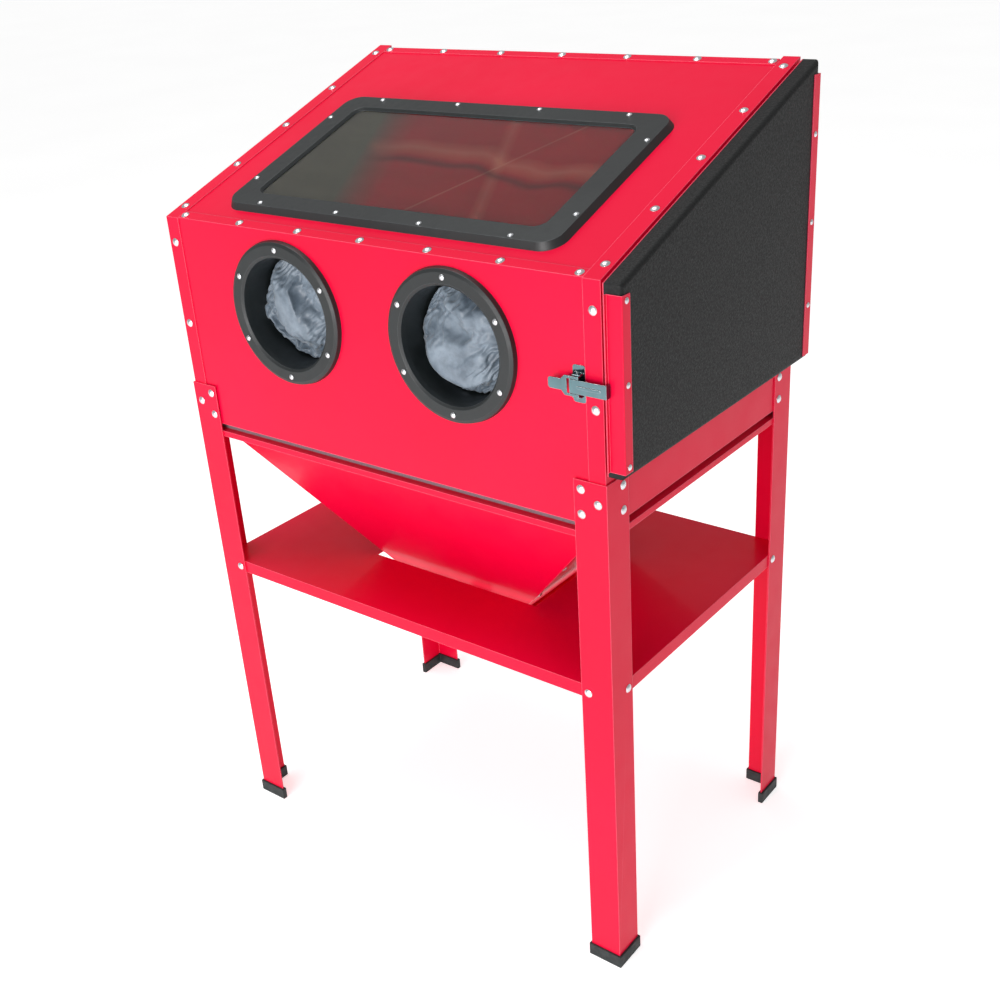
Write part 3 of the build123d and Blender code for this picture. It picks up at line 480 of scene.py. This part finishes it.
def sleeve_surface(hand):
    """Sleeve and hand hanging in the cabin, with its cuff turned over the collar, in rings."""
    side = -1 if hand == "left" else 1
    port = port_middle(hand)
    around = 120
    # stations down the sleeve: depth behind the panel, drop, half width, half height
    stations = [(40, 0, 92.6, 92.6), (58, 0, 92.6, 92.6), (63.5, 0, 91, 91), (70, 1, 86, 86),
                (84, 4, 82, 84), (100, 9, 79, 80), (118, 16, 76, 74), (136, 25, 72, 67),
                (154, 35, 68, 60), (172, 45, 64, 54), (190, 54, 60, 48), (208, 60, 55, 42),
                (226, 64, 50, 36), (244, 66, 48, 31), (262, 67, 49, 27), (280, 67, 50, 24),
                (298, 66, 49, 22), (316, 65, 45, 20), (332, 64, 37, 17), (343, 63, 24, 12),
                (348, 63, 8, 5)]
    rings_per_span = 3
    loose_from, loosening = 72, 60  # mm of depth where creases start, and over which they grow
    crease_height, ripple_height = 5.5, 2.2  # mm
    drop_share = 0.72
    points = []
    rings = (len(stations) - 1) * rings_per_span + 1
    for ring in range(rings):
        span = min(ring // rings_per_span, len(stations) - 2)
        share = ring / rings_per_span - span
        depth, drop, wide, high = (a + (b - a) * share
                                   for a, b in zip(stations[span], stations[span + 1]))
        loose = min(1.0, max(0.0, (depth - loose_from) / loosening))
        for step in range(around):
            turn = 2 * math.pi * step / around
            cloth = Vector((2.4 * math.cos(turn), depth / 26, 2.4 * math.sin(turn) + 5 * side))
            crease = 1 - abs(noise.noise(cloth)) * 2
            ripple = noise.noise(cloth * 2.3)
            grow = loose * (crease_height * (crease - 0.7) + ripple_height * ripple)
            flat = abs(math.cos(turn)) ** (1 + 0.3 * loose) * math.copysign(1, math.cos(turn))
            rise = (high + grow) * math.sin(turn) - drop_share * drop
            points.append(port + mm * Vector(((wide + grow) * flat, depth, rise)))
    faces = grid_faces(rings, around, True)
    faces.append(tuple(range((rings - 1) * around, rings * around)))
    return make_object("glove_sleeve_" + hand, points, faces)


def glove(hand, lean, seed):
    """One rubber glove: the bunched cloth in the port joined to the hanging sleeve."""
    bunch = bunched_cloth(hand, lean, seed)
    sleeve = sleeve_surface(hand)
    with bpy.context.temp_override(active_object=bunch, selected_editable_objects=[bunch, sleeve]):
        bpy.ops.object.join()
    bunch.name = "blast_glove_" + hand
    bunch.data.materials.clear()
    bunch.data.materials.append(looks["glove_rubber"])
    smooth = bunch.modifiers.new("smooth", "SUBSURF")
    smooth.levels = 1
    smooth.render_levels = 1
    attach(bunch, "cabinet")
    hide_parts("glove_" + hand)


glove("left", math.radians(38), 0.7)
glove("right", math.radians(30), 2.9)


# ------------------------------------------------------------------ screws through the hopper's rim
def sheet_face(node_name, x, z, side):
    """Point and outward normal of a sheet, met from the front (side -1) or the back (side 1)."""
    sheet = nodes[node_name]
    world = sheet.matrix_world
    local = world.inverted()
    start = local @ Vector((x, side, z))
    inward = local.to_3x3() @ Vector((0, -side, 0))
    _, point, normal, _ = sheet.ray_cast(start, inward)
    return world @ point, (world.to_3x3() @ normal).normalized()


def domed_heads(name, places):
    """Low domed screw heads standing on the given points along their normals, as one piece."""
    radius, rise, sunk = 4.4 * mm, 2.4 * mm, 0.6 * mm
    around, rings = 32, 8
    points, faces = [], []
    for place, normal in places:
        first = len(points)
        turn = normal.to_track_quat("Z", "Y").to_matrix()
        levels = [(1.0, -sunk)]
        for ring in range(rings):
            slant = math.pi / 2 * ring / rings
            levels.append((math.cos(slant), rise * math.sin(slant)))
        for share, height in levels:
            for step in range(around):
                angle = 2 * math.pi * step / around
                points.append(place + turn @ Vector((radius * share * math.cos(angle),
                                                     radius * share * math.sin(angle), height)))
        points.append(place + rise * normal)
        for quad in grid_faces(len(levels), around, True):
            faces.append(tuple(first + corner for corner in quad))
        top = first + (len(levels) - 1) * around
        faces += [(top + step, top + (step + 1) % around, len(points) - 1)
                  for step in range(around)]
        faces.append(tuple(first + step for step in reversed(range(around))))
    heads = make_object(name, points, faces)
    heads.data.materials.append(looks["zinc"])
    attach(heads, "cabinet")


def rim_screws():
    """Two screws at the top of the hopper's front sheet and two at the back."""
    half_apart, height = 122 * mm, 771 * mm
    low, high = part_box("hopper_front")
    centre = (low[0] + high[0]) / 2
    places = [sheet_face(sheet, centre + hand * half_apart, height, side)
              for sheet, side in (("hopper_front", -1), ("hopper_back", 1)) for hand in (-1, 1)]
    domed_heads("hopper_rim_screws", places)


rim_screws()


# ------------------------------------------------------------------ floor, lights and camera
def pale_floor():
    """Large white floor under the cabinet, which glows a little to stay white in the distance."""
    size = 40.0
    corners = [(-size, -size, 0), (size, -size, 0), (size, size, 0), (-size, size, 0)]
    floor = make_object("floor", corners, [(0, 1, 2, 3)], smooth=False)
    shader = Shader("pale_floor")
    tone = shader.remap(shader.noise(1.2, 3), 0, 1)
    shader.set(Base_Color=shader.mix(tone, (0.90, 0.90, 0.90, 1), (0.94, 0.94, 0.94, 1)),
               Roughness=0.9, Emission_Color=(1, 1, 1, 1), Emission_Strength=0.55)
    floor.data.materials.append(shader.material)


def soft_light(name, at, towards, size, watts, colour=(1, 1, 1)):
    """Rectangular area light aimed at a point."""
    lamp = bpy.data.lights.new(name, "AREA")
    lamp.energy = watts
    lamp.color = colour
    lamp.shape = "RECTANGLE"
    lamp.size, lamp.size_y = size
    holder = bpy.data.objects.new(name, lamp)
    holder.location = at
    holder.rotation_euler = (Vector(towards) - Vector(at)).to_track_quat("-Z", "Y").to_euler()
    scene.collection.objects.link(holder)


def studio():
    """Even white surroundings and three soft lights."""
    world = bpy.data.worlds.new("studio")
    world.use_nodes = True
    backdrop = world.node_tree.nodes["Background"]
    backdrop.inputs["Color"].default_value = (1.0, 1.0, 1.0, 1.0)
    backdrop.inputs["Strength"].default_value = 0.46
    scene.world = world
    chest = (0, 0, 0.9)
    soft_light("key", (0.5, -3.7, 1.3), chest, (2.2, 1.6), 98, (1.0, 0.98, 0.99))
    soft_light("top", (-0.6, -0.4, 3.8), chest, (1.6, 1.6), 50)
    soft_light("cabin", (-0.02, 0.12, 1.20), (-0.02, 0.0, 0.8), (0.3, 0.06), 1.2)


def photo_camera():
    """Camera in front of the cabinet, to its right and above it."""
    azimuth, elevation, roll = (math.radians(angle) for angle in (39.264, 26.168, 4.034))
    lens = bpy.data.cameras.new("camera")
    lens.sensor_width = 36
    lens.lens = 46.57
    lens.shift_x = 0.0032
    lens.shift_y = 0.0087
    holder = bpy.data.objects.new("camera", lens)
    turn = Matrix.Rotation(azimuth, 4, "Z") @ Matrix.Rotation(math.pi / 2 - elevation, 4, "X")
    turn = turn @ Matrix.Rotation(-roll, 4, "Z")
    holder.matrix_world = Matrix.Translation((1.2945, -1.61675, 1.6337)) @ turn
    scene.collection.objects.link(holder)
    scene.camera = holder


pale_floor()
studio()
photo_camera()
